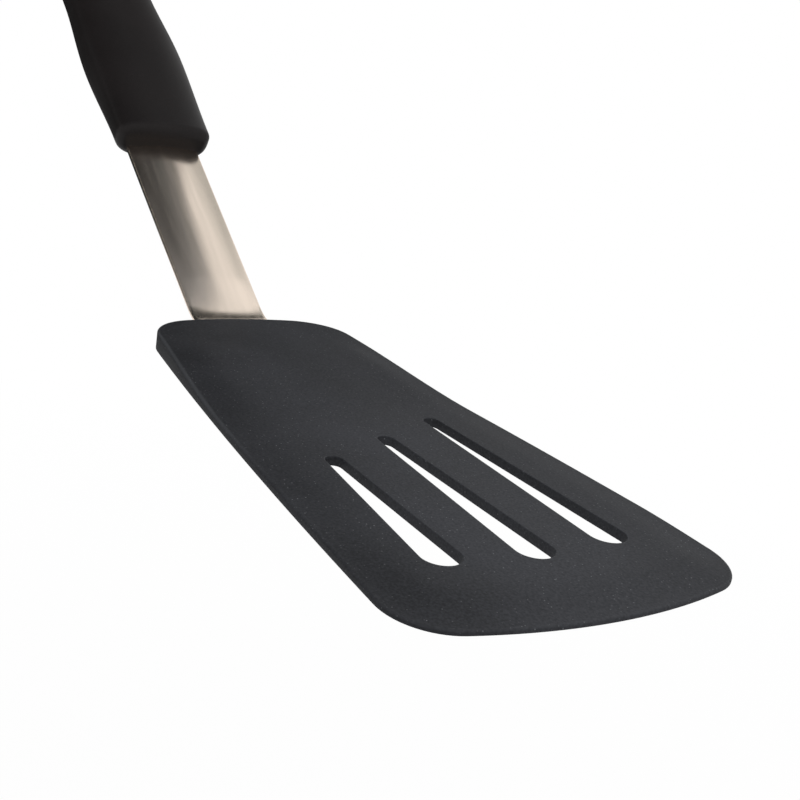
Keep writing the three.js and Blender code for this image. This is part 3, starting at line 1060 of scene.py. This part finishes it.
@dataclass(frozen=True)
class SoftGrip:
    """The soft-touch handle: a rounded collar, a swell, a waist and a flat tail with a hanging hole.

    Distances run along the handle from its collar, across to the left, and up from its widest line.
    """

    collar: Span  # X and Z of the strap's line at the collar, in the tool's frame
    rise: float
    length: float = 115.95
    lift: float = 3.8  # of its widest line over the strap's
    crest_share: float = 0.38  # share of the depth that is over the widest line
    widths: tuple[float, ...] = (28.6, 30.4, 28.0, 30.0, 30.0)
    depths: tuple[float, ...] = (12.6, 17.5, 16.0, 13.5, 13.5)
    marks: tuple[float, ...] = (0.0, 40.0, 74.0, 99.0, 116.0)
    tail_nose: float = 6.95
    rim_round: float = 2.6
    rim_slope: float = 1.5  # the upper rim falls this many times as far as the lower one
    squareness: float = 3.0
    hole_length: float = 20.0
    hole_width: float = 9.0
    hole_setback: float = 18.45
    hole_round: float = 1.4
    hole_margin: float = 0.5  # the skin's patch starts this far outside the hole's rounding
    end_inset: float = 0.4  # the flat end starts this far inside the collar's rounding
    sides: int = 96
    body_steps: int = 68
    round_steps: int = 12
    tail_steps: int = 26
    hole_steps: int = 24
    patch_from: float = 83.0
    patch_to: float = 112.0
    patch_turn: float = math.radians(60.0)  # the hole's patch reaches this far up each side
    hole_step: float = 0.5
    patch_step: float = 1.3
    finish: MouldedRubber = MouldedRubber(
        name="black_soft_touch_rubber_satin",
        body="#181515", bloom="#211d1d", dust="#565353", dust_amount=0.2,
        roughness=(0.45, 0.55), gloss=0.2, index=1.5, grain_size=0.4, grain_depth=0.01,
    )

    @property
    def tail_round(self) -> float:
        """Length of the tail's round end, seen from above."""
        return self.length - self.marks[-2]

    def sizes(self, distance: Points) -> tuple[Points, Points]:
        """Width and depth of the handle: smooth steps between the marks, closed by an ellipse at the tail.

        Args:
            distance: Distances from the collar.

        Returns:
            Full width and full depth.
        """
        marks = np.array(self.marks)
        after = np.clip(np.searchsorted(marks, distance, side="right"), 1, len(marks) - 1)
        blend = smoothstep(distance, marks[after - 1], marks[after])
        sizes = np.array([self.widths, self.depths])
        width, depth = lerp(sizes[:, after - 1], sizes[:, after], blend)
        width = width * self.closing(distance, self.tail_round)
        return width, depth * self.closing(distance, self.tail_nose)

    def closing(self, distance: Points, over: float) -> Points:
        """The share left of a size that an ellipse closes over the last stretch of the handle."""
        into = np.clip((distance - self.length + over) / over, 0.0, 1.0)
        return np.sqrt(1.0 - into ** 2)

    def surfaces(self, distance: Points, across: Points) -> tuple[Points, Points]:
        """Find the skin above and below the widest line, from the ovals |y/a|^n + |z/b|^n = 1.

        Args:
            distance: Distances from the collar.
            across: Places to the left.

        Returns:
            Heights of the upper skin and of the lower skin.
        """
        width, depth = self.sizes(distance)
        reach = np.clip(1.0 - np.abs(2.0 * across / (width + HAIR)) ** self.squareness, 0.0, 1.0)
        skin = depth * reach ** (1.0 / self.squareness)
        return self.crest_share * skin, (self.crest_share - 1.0) * skin

    def to_tool(self, distance: Points, across: Points, height: Points) -> Points:
        """Turn handle places into the tool's frame: back along the rise, then up square to it.

        Args:
            distance: Distances from the collar.
            across: Places to the left.
            height: Heights over the widest line.

        Returns:
            Points with one more axis.
        """
        up = height + self.lift
        x = self.collar[0] - distance * math.cos(self.rise) + up * math.sin(self.rise)
        z = self.collar[1] + distance * math.sin(self.rise) + up * math.cos(self.rise)
        return np.stack(np.broadcast_arrays(x, across, z), axis=-1)

    def stations(self) -> tuple[Points, Points]:
        """Distances of the cross sections and how far the collar's rounding pinches each one.

        The rounding is a quarter circle of radius r: at r(1 - sin) from the collar it pinches by
        r(1 - cos). Sections at the tail stand at the sines of even turns, closer towards its end.

        Returns:
            The distances and the pinches.
        """
        turn = np.linspace(QUARTER, 0.0, self.round_steps + 1)
        rim = self.rim_round * (1.0 - np.sin(turn))
        body = np.linspace(self.rim_round, self.marks[-2], self.body_steps + 1)[1:]
        tail = self.marks[-2] + self.tail_round * np.sin(np.linspace(0.0, QUARTER, self.tail_steps + 1)[1:])
        distance = np.concatenate([[0.0], rim, body, tail])
        pinch = np.zeros_like(distance)
        pinch[1:len(rim) + 1] = self.rim_round * (1.0 - np.cos(turn))
        pinch[0] = self.rim_round + self.end_inset
        return distance, pinch

    def hole_loop(self) -> Points:
        """Draw the hanging hole, seen from above: an oblong with round ends, anticlockwise.

        Returns:
            Evenly spaced points.
        """
        radius = self.hole_width / 2.0
        reach = self.hole_length / 2.0 - radius
        middle = self.length - self.hole_setback
        far = arc((middle + reach, 0.0), radius, -QUARTER, QUARTER, self.hole_steps)
        near = arc((middle - reach, 0.0), radius, QUARTER, 3.0 * QUARTER, self.hole_steps)
        return even_loop(np.vstack([far, near]), self.hole_step)

    def hole_band(self) -> Points:
        """Carry the hole's profile round it: over the upper edge, down the wall and over the lower edge.

        Each edge is a quarter circle of radius r that stands off the wall by r(1 - sin) and sinks below
        the skin by r(1 - cos).

        Returns:
            Rows of distance, place across and height over the widest line.
        """
        loop = self.hole_loop()
        turn = np.linspace(0.0, QUARTER, self.round_steps)[:, None]
        offset = np.vstack([[[self.hole_round + self.hole_margin]], self.hole_round * (1.0 - np.sin(turn))])
        sink = np.vstack([[[0.0]], self.hole_round * (1.0 - np.cos(turn))])
        places = loop - left_normals(loop) * offset[..., None]
        upper, lower = self.surfaces(places[..., 0], places[..., 1])
        down = np.concatenate([places, (upper - sink)[..., None]], axis=2)
        out = np.concatenate([places, (lower + sink)[..., None]], axis=2)
        return np.concatenate([down, out[::-1]])

    def build(self) -> None:
        """Model the handle: oval sections, flatter above than below, with two patches for the hole.

        A section's points are the cosines and sines of even turns, each to the power 2 / n for the oval
        |y/a|^n + |z/b|^n = 1.
        """
        distance, pinch = self.stations()
        width, depth = self.sizes(distance)
        turn = np.linspace(0.0, math.tau, self.sides, endpoint=False)
        bulge = 2.0 / self.squareness
        across = np.sign(np.cos(turn)) * np.abs(np.cos(turn)) ** bulge * (width / 2.0 - pinch)[:, None]
        upper = np.sin(turn) > 0.0
        share = np.where(upper, self.crest_share, 1.0 - self.crest_share)
        reach = share * depth[:, None] - np.where(upper, self.rim_slope, 1.0) * pinch[:, None]
        height = np.sign(np.sin(turn)) * np.abs(np.sin(turn)) ** bulge * reach
        rows = self.to_tool(distance[:, None], across, height)
        first, last = np.searchsorted(distance, [self.patch_from, self.patch_to])
        left = int(round(self.patch_turn / (turn[1] - turn[0])))
        right = self.sides // 2 - left
        keep = np.ones((len(distance) - 1, self.sides), dtype=bool)
        keep[first:last, left:right] = False
        keep[first:last, left + self.sides // 2:right + self.sides // 2] = False
        skin = Patchwork()
        skin.add_band(rows, keep=keep)
        skin.add_cap(rows[0])
        hole = self.hole_band()
        skin.add_band(self.to_tool(hole[..., 0], hole[..., 1], hole[..., 2]))
        grid = np.stack(np.broadcast_arrays(distance[:, None], across), axis=2)
        grid = grid[first:last + 1, left:right + 1]
        edge = np.vstack([grid[0, :-1], grid[:-1, -1], grid[-1, :0:-1], grid[:0:-1, 0]])
        patch, faces = fill_between([edge, hole[0, :, :2]], self.patch_step)
        for height in self.surfaces(patch[:, 0], patch[:, 1]):
            skin.add_faces(self.to_tool(patch[:, 0], patch[:, 1], height), faces)
        take_place(skin.to_object("soft_grip"), "grip", self.finish.make())


# Covered pieces


@dataclass(frozen=True)
class CoveredCores:
    """The steel plate inside the blade and the plastic body inside the grip, kept as packed."""

    plate: InnerStock = InnerStock("stainless_sheet_rolled", "#c4c1bb", "#b2afa9", 1.0, 0.35)
    body: InnerStock = InnerStock("nylon_moulded_black", "#232324", "#1b1b1c", 0.0, 0.5)

    def build(self, nodes: dict[str, Piece]) -> None:
        """Dress both nodes.

        Args:
            nodes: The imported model's nodes by name.
        """
        for name, finish in (("blade_core", self.plate), ("handle_core", self.body)):
            dress(nodes[name], finish.make())
            LOG.info("%s: kept, %s", name, finish.name)


# Studio


def stage_sheet(name: str, corners: Points) -> Piece:
    """Make a four-cornered sheet that belongs to the stage.

    Args:
        name: The sheet's name.
        corners: Its corners in metres, in order.

    Returns:
        The sheet.
    """
    mesh = bpy.data.meshes.new(name)
    mesh.from_pydata(np.asarray(corners).tolist(), [], [(0, 1, 2, 3)])
    sheet = add_object(name, mesh)
    sheet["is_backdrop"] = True
    return sheet


@dataclass(frozen=True)
class Softbox:
    """A square diffused lamp, aimed at the tool. Reflections see the white surround in its place."""

    name: str
    place: Spot  # metres
    size: float  # metres
    power: float  # watts

    def build(self, aim: Vector) -> None:
        """Hang the lamp and turn it to a point.

        Args:
            aim: The point it faces.
        """
        lamp = bpy.data.lights.new(self.name, "AREA")
        lamp.size = self.size
        lamp.energy = self.power
        holder = add_object(self.name, lamp)
        holder.visible_glossy = False
        holder.location = self.place
        holder.rotation_euler = (aim - Vector(self.place)).to_track_quat("-Z", "Y").to_euler()


@dataclass(frozen=True)
class Card:
    """A flat glowing panel that only reflections see: a painted reflection, as a dim room's walls show in
    steel.
    """

    name: str
    place: Spot  # its centre, in metres
    across: Spot  # from the centre to the middle of one edge
    rise: Spot  # from the centre to the middle of the next edge
    shade: str

    def build(self) -> None:
        """Stand the panel: its corners are the centre plus or minus both half edges."""
        corners = SQUARE[:, :1] * self.across + SQUARE[:, 1:2] * self.rise + self.place
        card = stage_sheet(self.name, corners)
        card.visible_camera = False
        card.visible_diffuse = False
        card.visible_shadow = False
        painted_reflection = Shading.of_material(f"{self.name}_felt")
        glow = painted_reflection.node("Emission", {"Color": self.shade, "Strength": 1.0})[0]
        painted_reflection.node("OutputMaterial", {"Surface": glow})
        dress(card, painted_reflection.owner)


@dataclass(frozen=True)
class Studio:
    """A white floor under the tool, a white surround, softboxes, and cards that glow in the steel's
    reflections.
    """

    floor_drop: float = 0.3  # the tool is held in the air, this far over the floor, in metres
    floor_reach: float = 6.0
    floor_glow: float = 0.97  # share of the floor's white, under the tool, that its shadow doesn't touch
    shadow_reach: Span = (0.35, 0.9)  # metres over which that share grows to all of it
    paper: str = "#f4f4f4"
    surround: float = 0.42  # light of the surround on the tool
    boxes: tuple[Softbox, ...] = (
        Softbox("key_softbox", (-0.72, 1.0, 0.85), 1.2, 4.5),
        Softbox("top_softbox", (0.5, -0.15, 0.95), 0.9, 4.2),
    )
    cards: tuple[Card, ...] = (
        # painted reflections: panels that glow only in reflections, in the steel and the silicone
        Card("ceiling_far_card", (-0.67, -0.36, 0.75), (0.43, 0.0, 0.0), (0.0, 0.54, 0.0), "#2c2d2d"),
        Card("ceiling_near_card", (0.13, -0.36, 0.75), (0.37, 0.0, 0.0), (0.0, 0.54, 0.0), "#8a8d91"),
        Card("far_edge_card", (-0.68, 0.24, 0.75), (0.42, 0.0, 0.0), (0.0, 0.06, 0.0), "#54585a"),
        Card("near_edge_card", (0.12, 0.24, 0.75), (0.38, 0.0, 0.0), (0.0, 0.06, 0.0), "#a8abae"),
        Card("corner_card", (-0.7, 0.373, 0.89), (-0.085, -0.151, 0.0), (0.179, -0.101, 0.175), "#2c2d2d"),
        Card("back_card", (-1.0, -0.5, 0.25), (0.0, 1.1, 0.0), (0.0, 0.0, 0.5), "#222424"),
        Card("low_card", (0.0, 0.15, -0.28), (0.15, 0.0, 0.0), (0.0, 0.2, 0.0), "#2c2d2d"),
        Card("wall_card", (-0.515, 0.56, 0.72), (-0.1, -0.09, 0.0), (0.056, -0.062, 0.086), "#b4b7b6"),
    )

    def lay_floor(self) -> None:
        """Lay the white floor. Seen directly it glows white, less a share near the tool for its shadow."""
        floor = stage_sheet("floor", SQUARE * self.floor_reach - (0.0, 0.0, self.floor_drop))
        paint = Shading.of_material("white_paper_sweep")
        paper = paint.node("BsdfDiffuse", {"Color": self.paper})[0]
        glow = paint.node("Emission", {"Color": WHITE, "Strength": 1.0})[0]
        place = paint.node("TexCoord")["Object"]
        away = paint.node("VectorMath", {0: place}, operation="LENGTH")["Value"]
        near, far = self.shadow_reach
        share = paint.node("MapRange", {
            "Value": away, "From Min": near, "From Max": far, "To Min": self.floor_glow,
        })[0]
        shown = paint.node("Math", {0: self.seen_share(paint), 1: share}, operation="MULTIPLY")[0]
        both = paint.node("MixShader", {0: shown, 1: paper, 2: glow})[0]
        paint.node("OutputMaterial", {"Surface": both})
        dress(floor, paint.owner)

    @staticmethod
    def seen_share(paint: Shading) -> Socket:
        """Tell whether a ray sees the background: straight on, in a reflection or through glass.

        Args:
            paint: The background's tree.

        Returns:
            1 where it does, 0 where it only brings light.
        """
        path = paint.node("LightPath")
        direct = {0: path["Is Camera Ray"], 1: path["Is Glossy Ray"]}
        either = paint.node("Math", direct, operation="MAXIMUM")[0]
        return paint.node("Math", {0: either, 1: path["Is Transmission Ray"]}, operation="MAXIMUM")[0]

    def wrap_surround(self) -> None:
        """Wrap a white surround round everything, which lights the tool at a lower level than it shows."""
        paint = Shading(bpy.data.worlds.new("white_surround"))
        lit = paint.node("Background", {"Color": WHITE, "Strength": self.surround})[0]
        shown = paint.node("Background", {"Color": WHITE, "Strength": 1.0})[0]
        both = paint.node("MixShader", {0: self.seen_share(paint), 1: lit, 2: shown})[0]
        paint.node("OutputWorld", {"Surface": both})
        bpy.context.scene.world = paint.owner

    def build(self, aim: Vector) -> None:
        """Set up the studio round a point.

        Args:
            aim: The point that the lamps face.
        """
        self.lay_floor()
        self.wrap_surround()
        for box in self.boxes:
            box.build(aim)
        for card in self.cards:
            card.build()
        bpy.context.scene.view_settings.view_transform = "Standard"


@dataclass(frozen=True)
class PhotoCamera:
    """The camera, close over the blade's front right corner and a little rolled."""

    place: Spot = (228.89, -124.73, 83.34)
    elevation: float = math.radians(17.953)  # of the camera, seen along its own axis
    azimuth: float = math.radians(-34.18)  # from +X towards +Y
    roll: float = math.radians(9.516)
    focal: float = 1141.6  # in pixels of the picture
    picture: float = 800.0  # pixels across the picture
    sensor: float = 36.0
    clip: Span = (0.01, 100.0)  # nearest and furthest sight, in metres

    def build(self) -> None:
        """Make the camera: its axis from the two angles, its right and up turned by the roll."""
        lens = bpy.data.cameras.new("photo_camera")
        lens.sensor_width = self.sensor
        lens.lens = self.focal / self.picture * self.sensor
        lens.clip_start, lens.clip_end = self.clip
        back = np.array([
            math.cos(self.elevation) * math.cos(self.azimuth),
            math.cos(self.elevation) * math.sin(self.azimuth),
            math.sin(self.elevation),
        ])
        level = np.array([-math.sin(self.azimuth), math.cos(self.azimuth), 0.0])
        rise = np.cross(back, level)
        right = math.cos(self.roll) * level + math.sin(self.roll) * rise
        up = math.cos(self.roll) * rise - math.sin(self.roll) * level
        stand = np.eye(4)
        stand[:3] = np.column_stack([right, up, back, np.array(self.place) * MM])
        camera = add_object("photo_camera", lens)
        camera.matrix_world = Matrix(stand.tolist())
        bpy.context.scene.camera = camera


def main() -> None:
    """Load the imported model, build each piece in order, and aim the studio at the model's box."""
    logging.basicConfig(level=logging.INFO, format="%(name)s: %(message)s")
    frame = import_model()
    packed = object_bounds()
    low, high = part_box("silicone_blade")
    blade = SiliconeBlade(
        back=low[0] / MM, length=(high[0] - low[0]) / MM, heel=high[2] / MM,
    )
    blade.build()
    neck = NeckStrap(back=blade.back)
    neck.build()
    collar_x, collar_z, _ = neck.path(neck.length)
    SoftGrip(collar=(float(collar_x), float(collar_z)), rise=neck.rise).build()
    CoveredCores().build(frame["nodes"])
    Studio().build((packed[0] + packed[1]) / 2.0)
    PhotoCamera().build()


if __name__ == "__main__":
    main()
